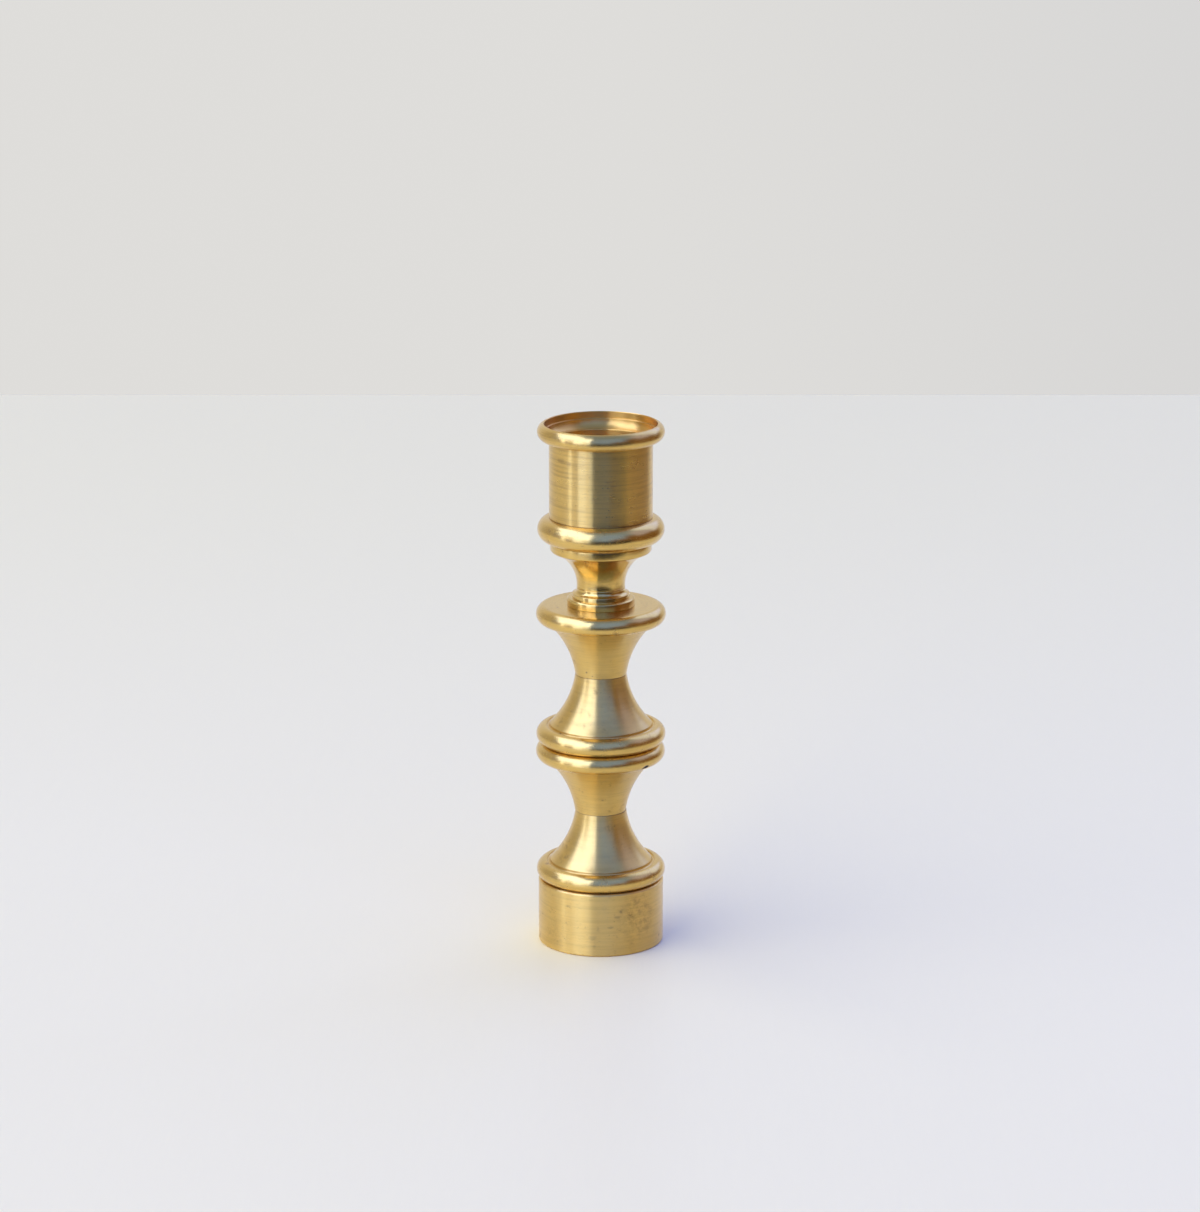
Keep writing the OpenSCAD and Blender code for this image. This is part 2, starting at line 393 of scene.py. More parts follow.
def softLamp(name, wide, tall, radiance, place, turn, use):
    # a soft lamp that only matt things see, or only metal
    quiet()
    bpy.ops.object.light_add(type="AREA", rotation=turn, location=place)
    lamp = bpy.context.object
    lamp.name = name + use.title()
    lamp.data.shape = "RECTANGLE"
    lamp.data.size, lamp.data.size_y = wide, tall
    strongest = max(radiance)
    lamp.data.color = [part / strongest for part in radiance]
    lamp.data.energy = strongest * math.pi * wide * tall
    lamp.visible_camera = False
    lamp.visible_diffuse, lamp.visible_glossy = use == "light", use == "shine"


def hangPane(name, span, shine):
    # upright lamps as wide and tall as the pane looks from the holder:
    # one for matt things, and one just in front of it for metal
    left, right, low, high = span
    middle = math.radians((left + right) / 2)
    uses = (("light", lamps["lightAway"], lamps["light"]), ("shine", lamps["shineAway"], shine))
    for use, away, radiance in uses:
        wide = 2 * away * math.tan(math.radians((right - left) / 2))
        foot, top = [away * math.tan(math.radians(height)) for height in (low, high)]
        lift = camera["aimHeight"] * mm + (foot + top) / 2
        softLamp(name, wide, top - foot, radiance, (math.sin(middle) * away, -math.cos(middle) * away, lift),
                 (math.pi / 2, 0, middle), use)


def tableFinish():
    material = bpy.data.materials.new("tablePaint")
    paint = Finish(material)
    place = paint.node("ShaderNodeTexCoord", {}, {}, out=3)
    x, y, z = paint.split(place)
    across, along = table["grain"]
    grain = paint.noise(paint.join(x * across, y * along, z), 1.0, 4.0, 0.6)
    broad = paint.noise(place, table["broad"])
    near = paint.mix(grain * 0.5 + broad * 0.5, table["darkColour"], table["colour"])
    # the far part of the table is painted darker, painted shade
    paint.feed(Base_Color=paint.mix(y.ease(*table["far"]), near, table["farColour"]),
               Normal=paint.bump(grain * table["grainDepth"]))
    paint.fix({"Roughness": table["roughness"], "Specular IOR Level": 0.5})
    return material


def buildRoom():
    buildWorld()
    for name, pane in panes.items():
        hangPane(name, pane["span"], pane["shine"])
    wide = lamps["skySize"]
    softLamp("sky", wide, wide, lamps["sky"], (0, 0, lamps["skyHeight"]), (0, 0, 0), "light")
    quiet()
    bpy.ops.mesh.primitive_grid_add(x_subdivisions=8, y_subdivisions=4, size=1, location=(0, 0, 0))
    top = bpy.context.object
    top.name = "table"
    top.scale = (table["right"] - table["left"], table["back"] - table["front"], 1)
    top.location = ((table["right"] + table["left"]) / 2, (table["back"] + table["front"]) / 2, 0)
    bpy.ops.object.transform_apply(location=True, rotation=True, scale=True)
    top.data.materials.append(tableFinish())


buildRoom()
print("room built")


# brass and steel finishes

brass = {
    "colour": (0.745, 0.50, 0.13),
    "warmColour": (0.765, 0.50, 0.12),
    "lineColour": (0.60, 0.385, 0.095),
    "tarnishAndShadeColour": (0.36, 0.21, 0.07),
    "nickColour": (0.035, 0.018, 0.01),
    "insideTarnishBounceColour": (0.76, 0.42, 0.07),
    "roughness": 0.33, "smudge": 0.12, "anisotropy": 0.85,
    "beadRoughness": 0.24, "beadFrom": 13.1,        # the polish of all that stands out past this radius
    "face": (1000.0, 0.22),                         # level and roughness of a polished top; here out of reach
    "linesPerMm": 2.2, "lineDepth": 0.0025, "lineRough": 0.08, "lineTint": 0.3, "lineShade": 0.12,
    "wander": 1.5, "waveDepth": 0.0012, "waves": 0.003, "scratches": 0.15,
    "coat": 0.4, "coatRoughness": 0.2,
    "tarnish": 0.5, "pits": 1.0,
    "seamGrimeShade": (), "inside": (), "marks": (), "nicks": (), "patches": (),
}

pattern = {
    # noise scales per millimetre; where there are two, round the axis and along the outline
    "outline": 0.62,            # what the radius adds to the length along the outline
    "core": 0.5,                # nearer to the axis than this the lines stop narrowing
    "coarse": (0.8, 1.3), "scratch": (12.0, 3.1),
    "smudge": 0.16, "cloud": 0.55, "crumb": 1.3, "crumbFlat": 1.7, "wave": 0.8, "cell": 0.9,
    # values of each noise between which it begins to show
    "warmShows": (0.35, 0.7), "tintShows": (0.35, 0.75), "shadeShows": (0.46, 0.70),
    "scratchShows": (0.60, 0.72),
    "cloudShows": (0.56, 0.74), "smudgeShows": (0.45, 0.62), "patchShows": (0.44, 0.62),
    "pitSize": (0.03, 0.085), "pitShare": (0.80, 0.82),
    # the edges of spots, by squared distance, and how ragged they are
    "markEdge": (0.1, 1.4), "markRagged": 3.0, "patchEdge": (0.2, 1.2),
    "nickEdge": (0.6, 1.2), "nickRagged": 0.8,
    # soft edges of the polished and the turned parts in millimetres, and the tint inside the mouth: tarnish
    # with a painted reflection of the brass around it
    "beadEdge": 0.15, "faceEdge": 0.05, "insideEdge": 0.1, "insideFoot": 0.2, "insideTarnishBounceTint": 0.8,
    "dullRough": 0.25, "pitRough": 0.3, "smoothest": 0.05,
    "cloudDepth": 0.0003, "pitDepth": 0.02,
}

zinc = {"colour": (0.60, 0.61, 0.62), "darkColour": (0.44, 0.45, 0.47), "roughness": 0.34}
springSteel = {"colour": (0.30, 0.30, 0.31), "darkColour": (0.16, 0.16, 0.17), "roughness": 0.42}

steel = {
    # noise scales per metre, the swing of the roughness, and depths in millimetres
    "cloud": 900.0, "spangle": 4000.0, "cloudShows": (0.35, 0.7), "swing": 0.2,
    "cloudDepth": 0.004, "spangleDepth": 0.001,
}


def brassFinish(name, look):
    # turned brass: lathe lines that run round the Z axis, smudges, tarnish, pits and the piece's own marks
    material = bpy.data.materials.new(name)
    metal = Finish(material)
    metal.fix({"Metallic": 1.0, "Anisotropic": look["anisotropy"], "Anisotropic Rotation": 0.25,
               "Coat Weight": look["coat"], "Coat Roughness": look["coatRoughness"]})
    inMetres = metal.node("ShaderNodeTexCoord", {}, {}, out=3)
    x, y, z = [part * (1 / mm) for part in metal.split(inMetres)]
    spot = metal.join(x, y, z)
    radius = (x * x + y * y).maths("SQRT")
    along = z + radius * pattern["outline"]
    safe = radius.maths("MAXIMUM", pattern["core"])

    def rings(around, lines, detail, roughness=0.5):
        # a noise that varies so often round the axis and along the outline
        stretched = metal.join(x / safe * around, y / safe * around, along * lines)
        return metal.noise(stretched, 1.0, detail, roughness)

    def apart(place, wide, tall):
        # squared distance from a place, 1 at the rim of a spot so wide round the piece and tall up it
        px, py, pz = place
        return ((x - px) ** 2 + (y - py) ** 2) / wide ** 2 + ((z - pz) / tall) ** 2

    fine = rings(look["wander"], look["linesPerMm"], 3.0, 0.55)
    coarse = rings(*pattern["coarse"], 2.0)
    scratch = rings(*pattern["scratch"], 2.0, 0.6)
    smudge = metal.noise(spot, pattern["smudge"], 5.0, 0.6)
    cloud = metal.noise(spot, pattern["cloud"], 4.0, 0.6)
    crumb = metal.noise(metal.join(x, y, z * pattern["crumbFlat"]), pattern["crumb"], 5.0, 0.7)
    wave = metal.noise(spot, pattern["wave"], 2.0)
    cell = metal.node("ShaderNodeTexVoronoi", {"feature": "F1"},
                      {"Vector": spot, "Scale": pattern["cell"], "Randomness": 1.0})
    chance = metal.split(metal.other(cell, "Color"))[0]
    pit = (1 - cell.ease(*pattern["pitSize"])) * chance.ease(*pattern["pitShare"]) * look["pits"]
    dull = cloud.ease(*pattern["cloudShows"]) * smudge.ease(*pattern["smudgeShows"]) * look["tarnish"]
    for *place, wide, tall, strength in look["marks"]:
        # a stain with a ragged edge
        edge = apart(place, wide, tall) + (crumb - 0.5) * pattern["markRagged"]
        dull = dull.maths("MAXIMUM", (1 - edge.ease(*pattern["markEdge"])) * strength)
    for *place, wide, tall, strength in look["patches"]:
        # a broad mottled patch of tarnish
        spread = 1 - apart(place, wide, tall).ease(*pattern["patchEdge"])
        mottled = (crumb * 0.5 + cloud * 0.5).ease(*pattern["patchShows"])
        dull = dull.maths("MAXIMUM", spread * mottled * strength)
    for level, half, strength in look["seamGrimeShade"]:
        # grime and painted shade in the joint between two pieces
        near = 1 - (z - level).maths("ABSOLUTE").ease(half * 0.5, half * 1.5)
        dull = dull.maths("MAXIMUM", near * strength)
    for *place, wide, tall in look["nicks"]:
        # a knock, coloured nearly black like the pits
        edge = apart(place, wide, tall) + (crumb - 0.5) * pattern["nickRagged"]
        pit = pit.maths("MAXIMUM", 1 - edge.ease(*pattern["nickEdge"]))
    lines = fine.ease(*pattern["shadeShows"]) * look["lineShade"]
    lines = lines + scratch.ease(*pattern["scratchShows"]) * look["scratches"]
    tone = metal.mix(smudge.ease(*pattern["warmShows"]), look["colour"], look["warmColour"])
    tone = metal.mix(coarse.ease(*pattern["tintShows"]) * look["lineTint"], tone, look["lineColour"])
    tone = metal.mix(lines, tone, look["tarnishAndShadeColour"])
    # tarnish, stains and the painted shade of the joints darken the tone here
    tone = metal.mix(dull, tone, look["tarnishAndShadeColour"])
    tone = metal.mix(pit, tone, look["nickColour"])
    beads = radius.ease(look["beadFrom"] - pattern["beadEdge"], look["beadFrom"] + pattern["beadEdge"])
    base = beads * (look["beadRoughness"] - look["roughness"]) + look["roughness"]
    faceLevel, faceRoughness = look["face"]
    base = (z - faceLevel).ease(-pattern["faceEdge"], 0.0) * (faceRoughness - base) + base
    for reach, foot, roughness in look["inside"]:
        # the mouth and bore as the tool left them, and warmer with tarnish and a painted reflection of the
        # brass around them: radius, level where they end, roughness
        inside = 1 - radius.ease(reach, reach + pattern["insideEdge"])
        inside = inside * z.ease(foot, foot + pattern["insideFoot"])
        base = inside * (roughness - base) + base
        tone = metal.mix(inside * pattern["insideTarnishBounceTint"], tone, look["insideTarnishBounceColour"])
    rough = base + (smudge - 0.5) * look["smudge"] + (cloud - 0.5) * look["smudge"]
    rough = rough + (fine - 0.5) * look["lineRough"] + dull * pattern["dullRough"] + pit * pattern["pitRough"]
    height = fine * look["lineDepth"] + coarse * look["waveDepth"] + wave * look["waves"]
    height = height + cloud * pattern["cloudDepth"] - pit * pattern["pitDepth"]
    metal.feed(Base_Color=tone, Roughness=rough.maths("MAXIMUM", pattern["smoothest"]),
               Normal=metal.bump(height))
    return material


def steelFinish(name, look):
    material = bpy.data.materials.new(name)
    metal = Finish(material)
    metal.fix({"Metallic": 1.0})
    place = metal.node("ShaderNodeTexCoord", {}, {}, out=3)
    cloud = metal.noise(place, steel["cloud"], 5.0, 0.65)
    spangle = metal.noise(place, steel["spangle"], 2.0)
    metal.feed(Base_Color=metal.mix(cloud.ease(*steel["cloudShows"]), look["colour"], look["darkColour"]),
               Roughness=look["roughness"] + (cloud - 0.5) * steel["swing"],
               Normal=metal.bump(cloud * steel["cloudDepth"] + spangle * steel["spangleDepth"]))
    return material


# the bell, turned once and copied for all four

bell = {
    "bead": (16.0, 4.5, 40),            # radius over the bead, thickness, parts of the arc
    "height": 17.55,
    "waist": 6.35,
    "lip": (12.65, 4.85),
    "flare": (22.5, 44),                # radius and parts
    "quirk": (0.4, 12),
    "hole": (3.3, 0.4),                 # rod hole and its edge break
    "lipBreak": (0.12, 4), "waistBreak": (0.07, 3),
    "flange": (86.28, 0.17),            # level and roughness of the polished top face
    "knock": {"place": (10.96, -11.12, 47.7), "push": (-0.10, 0.10, 0.12), "width": 0.75},
    "chip": ((11.2, -10.9, 47.75, 0.85, 0.42), (10.6, -11.4, 47.55, 0.5, 0.32)),
    "steps": 256,
}

# grime and painted shade in the two waist seams: level, half of its height, strength
lowerSeamGrimeShade = (33.65, 0.08, 0.75)
upperSeamGrimeShade = (68.75, 0.08, 0.75)

stack = {
    "lower_spool_foot_bell": {
        "name": "lowerFootBell", "height": 16.1, "turned": False, "aside": 0,
        "look": {"seamGrimeShade": [lowerSeamGrimeShade], "marks": [(-13.3, -4.0, 20.6, 0.8, 0.5, 0.7)]}},
    "lower_spool_head_bell": {
        # stands a little to the left of the axis
        "name": "lowerHeadBell", "height": 51.2, "turned": True, "aside": -0.12,
        "look": {"seamGrimeShade": [lowerSeamGrimeShade], "marks": [(0.4, -7.4, 38.07, 0.35, 0.2, 0.5)], "nicks": bell["chip"]}},
    "upper_spool_foot_bell": {
        "name": "upperFootBell", "height": 51.2, "turned": False, "aside": 0,
        "look": {"seamGrimeShade": [upperSeamGrimeShade], "marks": [(-9.93, -7.95, 55.47, 0.35, 0.25, 0.95)]}},
    "upper_spool_head_bell": {
        "name": "upperHeadBell", "height": 86.3, "turned": True, "aside": 0,
        "look": {"seamGrimeShade": [upperSeamGrimeShade], "face": bell["flange"],
                 "marks": [(-3.54, -5.63, 70.4, 0.28, 0.25, 0.9), (-2.06, -6.14, 69.52, 0.22, 0.2, 0.8),
                           (-10.64, -3.35, 86.3, 0.3, 0.3, 0.8)]}},
}


def arcMiddle(a, b, radius):
    # middle of the circle through a and b, on the outer side of a line that rises inwards
    run = Vector((b[0] - a[0], b[1] - a[1]))
    reach = math.sqrt(radius ** 2 - (run.length / 2) ** 2)
    side = Vector((run.y, -run.x)).normalized() * reach
    return ((a[0] + b[0]) / 2 + side.x, (a[1] + b[1]) / 2 + side.y)


def turnBell(name):
    reach, thick, beadParts = bell["bead"]
    radius, flareParts = bell["flare"]
    quirk, quirkParts = bell["quirk"]
    top, waist, lip = bell["height"], bell["waist"], bell["lip"]
    hole, edge = bell["hole"]
    beadMiddle = (reach - thick / 2, thick / 2)
    flareMiddle = arcMiddle(lip, (waist, top), radius)
    start = (hole + edge, 0)
    path = [
        (beadMiddle[0], 0),
        (*beadMiddle, 180, beadParts),                                            # full round bead
        (lip[0] + 2 * quirk, thick),
        (lip[0] + quirk, thick, -180, quirkParts),
        lip,
        (*flareMiddle, swingTo(lip, flareMiddle, (waist, top)), flareParts),      # hollow flare
        (hole + edge, top),
        (hole, top - edge),
        (hole, edge),
        start,
    ]
    piece = drawOutline(name, start, path)
    softenCorners(piece, [
        (*lip, *bell["lipBreak"]),
        (lip[0] + 2 * quirk, thick, *fineBreak),
        (waist, top, *bell["waistBreak"]),
    ])
    latheTurn(piece, bell["steps"])
    return piece


def copyTurning(piece, name):
    double = piece.copy()
    double.data = piece.data.copy()
    double.name = double.data.name = name
    bpy.context.scene.collection.objects.link(double)
    return double


def buildBells():
    first = turnBell("lowerFootBell")
    pieces = {}
    for node, own in stack.items():
        pieces[node] = first if own["name"] == first.name else copyTurning(first, own["name"])
    for node, own in stack.items():
        liftTo(pieces[node], own["height"], own["turned"], own["aside"])
    knock = bell["knock"]
    dent(pieces["lower_spool_head_bell"], knock["place"], knock["push"], knock["width"])
    for node, own in stack.items():
        material = brassFinish(own["name"] + "Brass", {**brass, **own["look"]})
        finishPiece(pieces[node], node, material)


buildBells()
print("bells built")


# base drum with the nut pocket

drum = {
    "radius": 15.55, "height": 16.1, "rim": 0.3,
    "pocket": (9.0, 10.5),          # radius and depth
    "hole": (3.3, 0.4),
    "steps": 256,
    "pocketBreak": (0.3, 4),
    # the drum's brass is painted paler than the other brass, a painted brightening that stands in for light
    # on it
    "look": {"colour": (0.80, 0.54, 0.145), "warmColour": (0.82, 0.54, 0.135),
             "roughness": 0.33, "beadRoughness": 0.33, "anisotropy": 0.96,
             "lineDepth": 0.004, "waveDepth": 0.003, "waves": 0.001, "lineTint": 0.3,
             "tarnish": 0.6, "lineShade": 0.1, "scratches": 0.2,
             "marks": [(4.1, -15.0, 10.2, 1.0, 0.35, 0.35), (2.4, -15.4, 7.7, 0.9, 0.3, 0.35),
                       (11.3, -10.7, 6.1, 1.0, 0.8, 0.25), (9.8, -12.1, 7.9, 0.7, 0.6, 0.25),
                       (-2.1, -15.4, 4.9, 1.1, 0.6, 0.25)],
             "patches": [(9.0, -12.7, 9.5, 6.0, 7.0, 0.3), (-11.0, -11.0, 5.0, 5.0, 4.0, 0.2)]},
}


def buildDrum():
    radius, top, rim = drum["radius"], drum["height"], drum["rim"]
    pocket, depth = drum["pocket"]
    hole, edge = drum["hole"]
    start = (pocket + rim, 0)
    path = [
        (radius - rim, 0), (radius, rim), (radius, top - rim), (radius - rim, top),
        (hole + edge, top), (hole, top - edge), (hole, depth + edge), (hole + edge, depth),
        (pocket, depth), (pocket, rim), start,
    ]
    piece = drawOutline("drum", start, path)
    softenCorners(piece, [(radius - rim, 0, *slight), (radius, rim, *slight), (radius, top - rim, *slight),
                          (radius - rim, top, *slight), (pocket, depth, *drum["pocketBreak"])])
    latheTurn(piece, drum["steps"])
    finishPiece(piece, "base_drum", brassFinish("drumBrass", {**brass, **drum["look"]}))


buildDrum()
print("drum built")


# stem neck: collar, step, cove, shaft with its tool marks, long cove and ledge

neck = {
    "foot": 86.3,
    "collar": (8.3, 1.95), "step": 3.05, "footCove": (1.1, 12), "shaft": 5.95, "straight": 0.85,
    "cove": (9.2, 40), "ledge": (12.5, 2.35), "edge": 0.3,      # coves: radius and parts
    "hole": (3.3, 0.4),
    "grooves": ((0.16, 0.05), (0.36, 0.035), (0.62, 0.05)),     # height above the foot cove, depth
    "grooveHalf": 0.05,                                         # half of a groove's width
    "steps": 256,
    # grime and painted shade where the collar meets the flange
    "look": {"roughness": 0.19, "anisotropy": 0.8, "seamGrimeShade": [(86.36, 0.08, 0.4)]},
}


def buildNeck():
    collar, collarTop = neck["collar"]
    shaft, edge, half = neck["shaft"], neck["edge"], neck["grooveHalf"]
    cove, coveParts = neck["footCove"]
    bend, bendParts = neck["cove"]
    hole, holeEdge = neck["hole"]
    coveTop = neck["step"] + cove
    bendFoot = coveTop + neck["straight"]
    ledge, ledgeThick = neck["ledge"]
    bendMiddle = (shaft + bend, bendFoot)
    under = bendFoot + math.sqrt(bend ** 2 - (bendMiddle[0] - ledge) ** 2)
    top = under + ledgeThick
    start = (hole + holeEdge, 0)
    path = [(collar, 0), (collar, collarTop - edge), (collar - edge, collarTop), (shaft + cove, collarTop),
            (shaft + cove, neck["step"]), (shaft + cove, coveTop, -90, coveParts)]
    for rise, depth in neck["grooves"]:
        level = coveTop + rise
        path += [(shaft, level - half), (shaft - depth, level), (shaft, level + half)]
    underEnd = (ledge - edge, bendFoot + math.sqrt(bend ** 2 - (bendMiddle[0] - ledge + edge) ** 2))
    path += [
        (shaft, bendFoot),
        (*bendMiddle, swingTo((shaft, bendFoot), bendMiddle, underEnd), bendParts),
        (ledge, under + edge), (ledge, top - edge), (ledge - edge, top),
        (hole + holeEdge, top), (hole, top - holeEdge), (hole, holeEdge), start,
    ]
    piece = drawOutline("neck", start, path)
    softenCorners(piece, [(collar, 0, *fineBreak), (collar, collarTop - edge, *slight),
                          (collar - edge, collarTop, *slight), (shaft + cove, neck["step"], *slight),
                          (ledge, top - edge, *slight), (ledge - edge, top, *slight)])
    latheTurn(piece, neck["steps"])
    liftTo(piece, neck["foot"])
    finishPiece(piece, "stem_neck", brassFinish("neckBrass", {**brass, **neck["look"]}))


buildNeck()
print("neck built")


# foot ring

ring = {
    "foot": 102.46, "reach": 15.6, "thick": 6.0, "parts": 48,
    "bore": 11.05, "edge": 0.15, "steps": 256,
    # grime and painted shade where the ring sits on the ledge
    "look": {"roughness": 0.27, "anisotropy": 0.6, "seamGrimeShade": [(102.48, 0.1, 0.7)],
             "marks": [(-8.1, -13.3, 105.7, 0.5, 0.35, 0.6), (-12.5, -8.8, 106.8, 0.9, 0.6, 0.45)]},
}


def buildRing():
    reach, thick, bore, edge = ring["reach"], ring["thick"], ring["bore"], ring["edge"]
    middle = (reach - thick / 2, thick / 2)
    start = (bore + edge, 0)
    path = [(middle[0], 0), (*middle, 180, ring["parts"]), (bore, thick), (bore, edge), start]
    piece = drawOutline("footRing", start, path)
    latheTurn(piece, ring["steps"])
    liftTo(piece, ring["foot"])
    finishPiece(piece, "cup_foot_ring", brassFinish("ringBrass", {**brass, **ring["look"]}))


buildRing()
print("foot ring built")


# candle cup: tube, rolled rim, stepped mouth, bore and spigot

cup = {
    "shoulder": 108.46,
    "tube": 12.7, "top": 23.4,
    "rim": (15.6, 4.2), "rimParts": (16, 18),       # radius and thickness; parts above and below its widest
    "mouth": (13.85, 21.6), "step": 13.3, "coveParts": 16,
    "bore": (11.25, 19.3), "floor": 1.1,
    "spigot": (11.0, 5.9), "tapped": (3.03, 0.3, 0.4), "edge": 0.15,
    "steps": 256,
    "look": {"roughness": 0.29, "anisotropy": 0.97, "linesPerMm": 1.8, "tarnish": 0.0, "lineDepth": 0.02,
             "waveDepth": 0.004, "lineTint": 0.5, "wander": 1.0, "waves": 0.001, "smudge": 0.05,
             # the mouth and bore are painted warmer: tarnish, and a painted reflection of the brass round
             # them
             "lineShade": 0.3, "scratches": 0.3, "inside": [(13.95, 127.2, 0.32), (11.3, 109.6, 0.32)],
             # grime and painted shade where the cup meets the ring and at the top of the bore
             "seamGrimeShade": [(108.5, 0.1, 0.7), (127.58, 0.12, 0.5)],
             "marks": [(-9.6, -8.3, 124.2, 1.6, 0.7, 0.35), (-7.8, -10.0, 123.8, 0.8, 0.6, 0.3),
                       (1.8, -12.6, 119.9, 1.0, 0.25, 0.5), (3.0, -12.3, 118.8, 0.9, 0.2, 0.5)]},
}


def buildCup():
    tube, top, edge = cup["tube"], cup["top"], cup["edge"]
    reach, thick = cup["rim"]
    upperParts, lowerParts = cup["rimParts"]
    middle = (reach - thick / 2, top - thick / 2)
    mouth, step, bore = cup["mouth"], cup["step"], cup["bore"]
    spigot, drop = cup["spigot"]
    tapped, roof, lead = cup["tapped"]
    crest = (mouth[0] + edge, middle[1] + math.sqrt((thick / 2) ** 2 - (mouth[0] + edge - middle[0]) ** 2))
    coveFoot = (bore[0] + edge, bore[1] + edge * 0.5)
    across, up = step - coveFoot[0], mouth[1] - coveFoot[1]
    # the cove ends upright under the mouth
    coveMiddle = (step - (across ** 2 + up ** 2) / (2 * across), mouth[1])
    start = (0, cup["floor"])
    path = [
        (bore[0], cup["floor"]), (bore[0], bore[1] - edge), coveFoot,
        (*coveMiddle, swingTo(coveFoot, coveMiddle, (step, mouth[1])), cup["coveParts"]),
        mouth, (mouth[0], crest[1] - edge), crest,
        (*middle, swingTo(crest, middle, (middle[0] + thick / 2, middle[1])), upperParts),
        (*middle, -90, lowerParts),
        (tube, top - thick), (tube, 0), (spigot, 0), (spigot, -drop + edge), (spigot - edge, -drop),
        (tapped + lead, -drop), (tapped, -drop + lead), (tapped, -roof), (0, -roof),
    ]
    piece = drawOutline("cup", start, path)
    softenCorners(piece, [(*mouth, *fineBreak), (step, mouth[1], *fineBreak), (tube, 0, *fineBreak)])
    latheTurn(piece, cup["steps"])
    liftTo(piece, cup["shoulder"])
    finishPiece(piece, "candle_cup", brassFinish("cupBrass", {**brass, **cup["look"]}))


buildCup()
print("cup built")


# rod with its thread, nut and washers

rod = {
    "foot": 1.2, "top": 107.76, "radius": 3.0, "root": 2.45,
    "pitch": 1.0, "crest": (0.44, 0.56),        # where the crest of the thread lies in the pitch
    "below": 1.5, "spare": 4,                   # where the thread starts below the foot, turns to cut away
    "threadWeld": 0.001, "cutWeld": 0.002, "sides": 32, "smooth": 30,
}
nut = {"foot": 2.3, "flats": 10.0, "height": 5.0, "hole": (3.03, 0.35), "faceShare": 0.93, "past": 0.4,
       "smooth": 25}
washer = {"foot": 8.9, "radius": 6.0, "hole": 3.3, "thick": 1.6}
spring = {"foot": 7.3, "radius": 5.5, "hole": 3.3, "thick": 1.6, "split": 0.8, "lean": 25.0}
washerEdge = 0.12
smallSteps = 96


def applied(piece, modifier):
    quiet()
    piece.select_set(True)
    bpy.context.view_layer.objects.active = piece
    bpy.ops.object.modifier_apply(modifier=modifier.name)


def carve(piece, tool, operation):
    # a boolean with a tool that is thrown away
    cut = piece.modifiers.new("carve", "BOOLEAN")
    cut.operation, cut.solver, cut.object = operation, "EXACT", tool
    applied(piece, cut)
    bpy.data.objects.remove(tool, do_unlink=True)


def buildRod():
    # one pitch of the thread's outline is screwed up the axis, then cut to length and closed at both ends
    length, root, pitch, below = rod["top"] - rod["foot"], rod["root"], rod["pitch"], rod["below"]
    crestFoot, crestTop = rod["crest"]
    piece = drawOutline("tieRod", (root, -below), [(rod["radius"], -below + pitch * crestFoot),
                                                   (rod["radius"], -below + pitch * crestTop),
                                                   (root, -below + pitch)])
    bpy.ops.object.mode_set(mode="OBJECT")
    screw = piece.modifiers.new("thread", "SCREW")
    screw.angle, screw.steps, screw.render_steps = 2 * math.pi, rod["sides"], rod["sides"]
    screw.screw_offset, screw.iterations = pitch * mm, int(length / pitch) + rod["spare"]
    screw.use_merge_vertices, screw.merge_threshold = True, rod["threadWeld"] * mm
    applied(piece, screw)
    bpy.ops.object.mode_set(mode="EDIT")
    near = rod["cutWeld"] * 1.5 * mm
    for cut, inner in ((0.0, True), (length * mm, False)):
        bpy.ops.mesh.select_all(action="SELECT")
        bpy.ops.mesh.bisect(plane_co=(0, 0, cut), plane_no=(0, 0, 1), threshold=weld,
                            clear_inner=inner, clear_outer=not inner)
        bpy.ops.mesh.select_all(action="SELECT")
        bpy.ops.mesh.remove_doubles(threshold=rod["cutWeld"] * mm)
        pick(piece, "edges", lambda e: e.is_boundary and all(abs(v.co.z - cut) < near for v in e.verts))
        bpy.ops.mesh.edge_face_add()
    bpy.ops.mesh.select_all(action="SELECT")
    bpy.ops.mesh.normals_make_consistent(inside=False)
    bpy.ops.object.mode_set(mode="OBJECT")
    liftTo(piece, rod["foot"])
    finishPiece(piece, "tie_rod", steelFinish("rodZinc", zinc), angle=rod["smooth"])


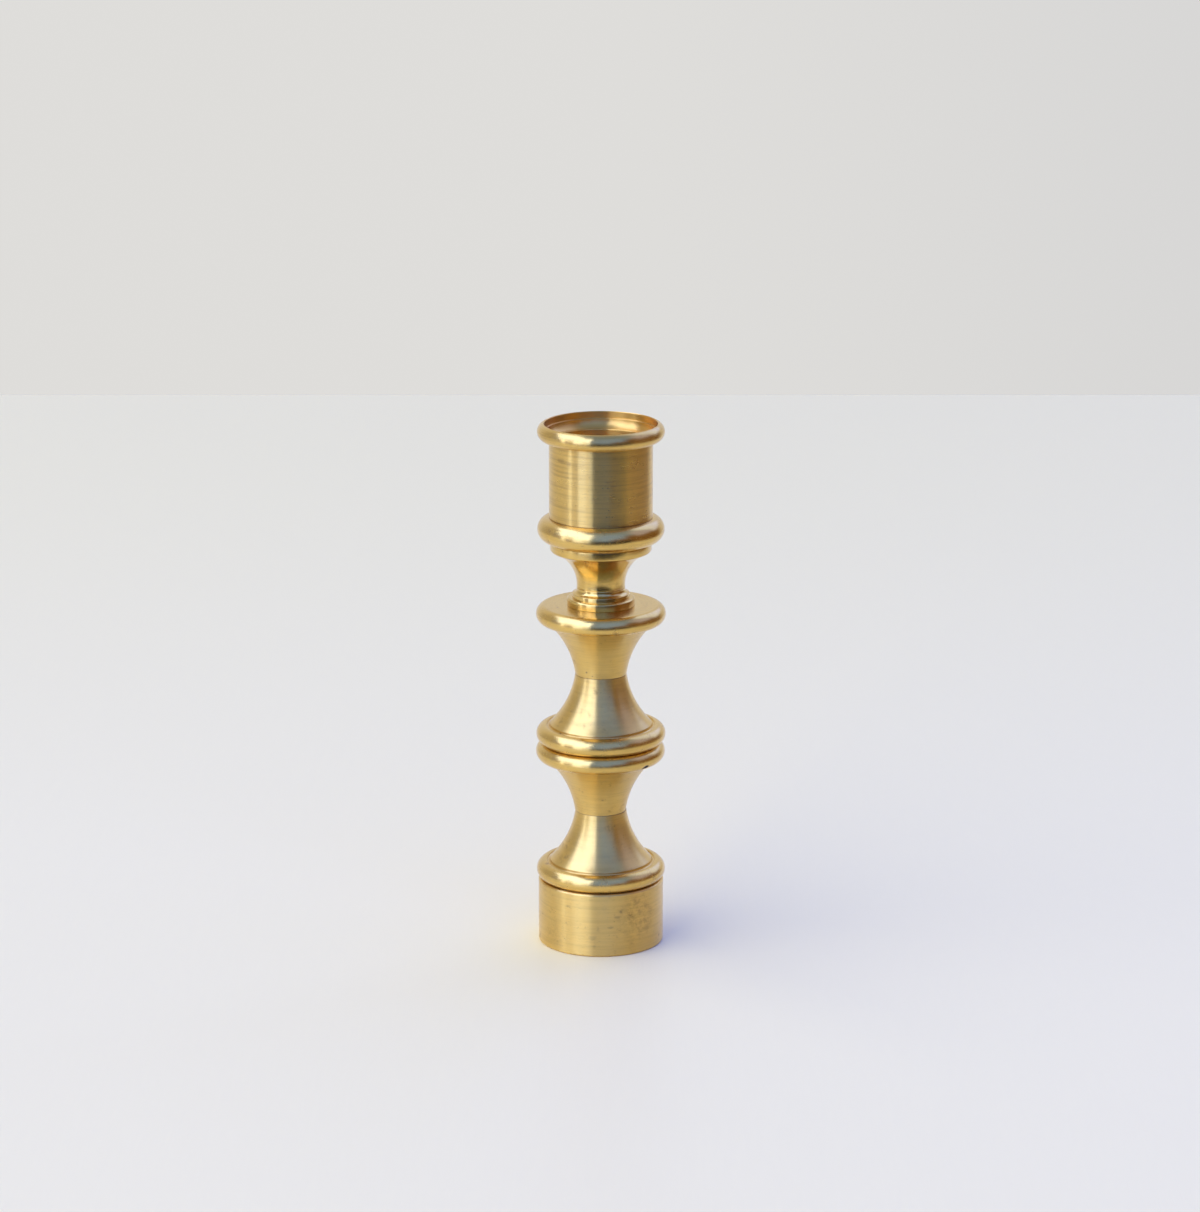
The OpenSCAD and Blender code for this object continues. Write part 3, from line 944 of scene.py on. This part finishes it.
def buildNut():
    # a six-sided bar met with a turned blank, which takes the corners off and leaves the hole
    half = math.radians(30)
    corner = nut["flats"] / 2 / math.cos(half)
    face = nut["faceShare"] * nut["flats"] / 2
    bevel = (corner - face) * math.tan(half)
    top, past = nut["height"], nut["past"]
    hole, edge = nut["hole"]
    quiet()
    bpy.ops.mesh.primitive_cylinder_add(vertices=6, radius=corner * mm, depth=top * mm,
                                        location=(0, 0, top / 2 * mm))
    piece = bpy.context.object
    piece.name = piece.data.name = "rodNut"
    bpy.ops.object.transform_apply(location=True, rotation=True, scale=True)
    slope = bevel + past * math.tan(half)
    start = (hole + edge, 0)
    path = [(face, 0), (corner + past, slope), (corner + past, top - slope), (face, top),
            (hole + edge, top), (hole, top - edge), (hole, edge), start]
    blank = drawOutline("nutBlank", start, path)
    latheTurn(blank, smallSteps)
    carve(piece, blank, "INTERSECT")
    liftTo(piece, nut["foot"])
    finishPiece(piece, "rod_nut", steelFinish("nutZinc", zinc), angle=nut["smooth"])


def turnWasher(name, size):
    radius, hole, thick, edge = size["radius"], size["hole"], size["thick"], washerEdge
    start = (hole + edge, 0)
    piece = drawOutline(name, start, [(radius - edge, 0), (radius, edge), (radius, thick - edge),
                                      (radius - edge, thick), (hole + edge, thick), (hole, thick - edge),
                                      (hole, edge), start])
    latheTurn(piece, smallSteps)
    return piece


def buildWashers():
    flat = turnWasher("rodWasher", washer)
    liftTo(flat, washer["foot"])
    finishPiece(flat, "rod_washer", steelFinish("washerZinc", zinc), angle=rod["smooth"])
    coil = turnWasher("springWasher", spring)
    quiet()
    # a leaning bar cuts the split
    radius, split, thick = spring["radius"] * mm, spring["split"] * mm, spring["thick"] * mm
    bpy.ops.mesh.primitive_cube_add(size=1, location=(radius, 0, thick / 2),
                                    rotation=(math.radians(spring["lean"]), 0, 0),
                                    scale=(radius * 2, split, thick * 4))
    carve(coil, bpy.context.object, "DIFFERENCE")
    liftTo(coil, spring["foot"])
    finishPiece(coil, "spring_washer", steelFinish("springSteel", springSteel),
                angle=rod["smooth"])


buildRod()
buildNut()
buildWashers()
print("rod, nut and washers built")

quiet()
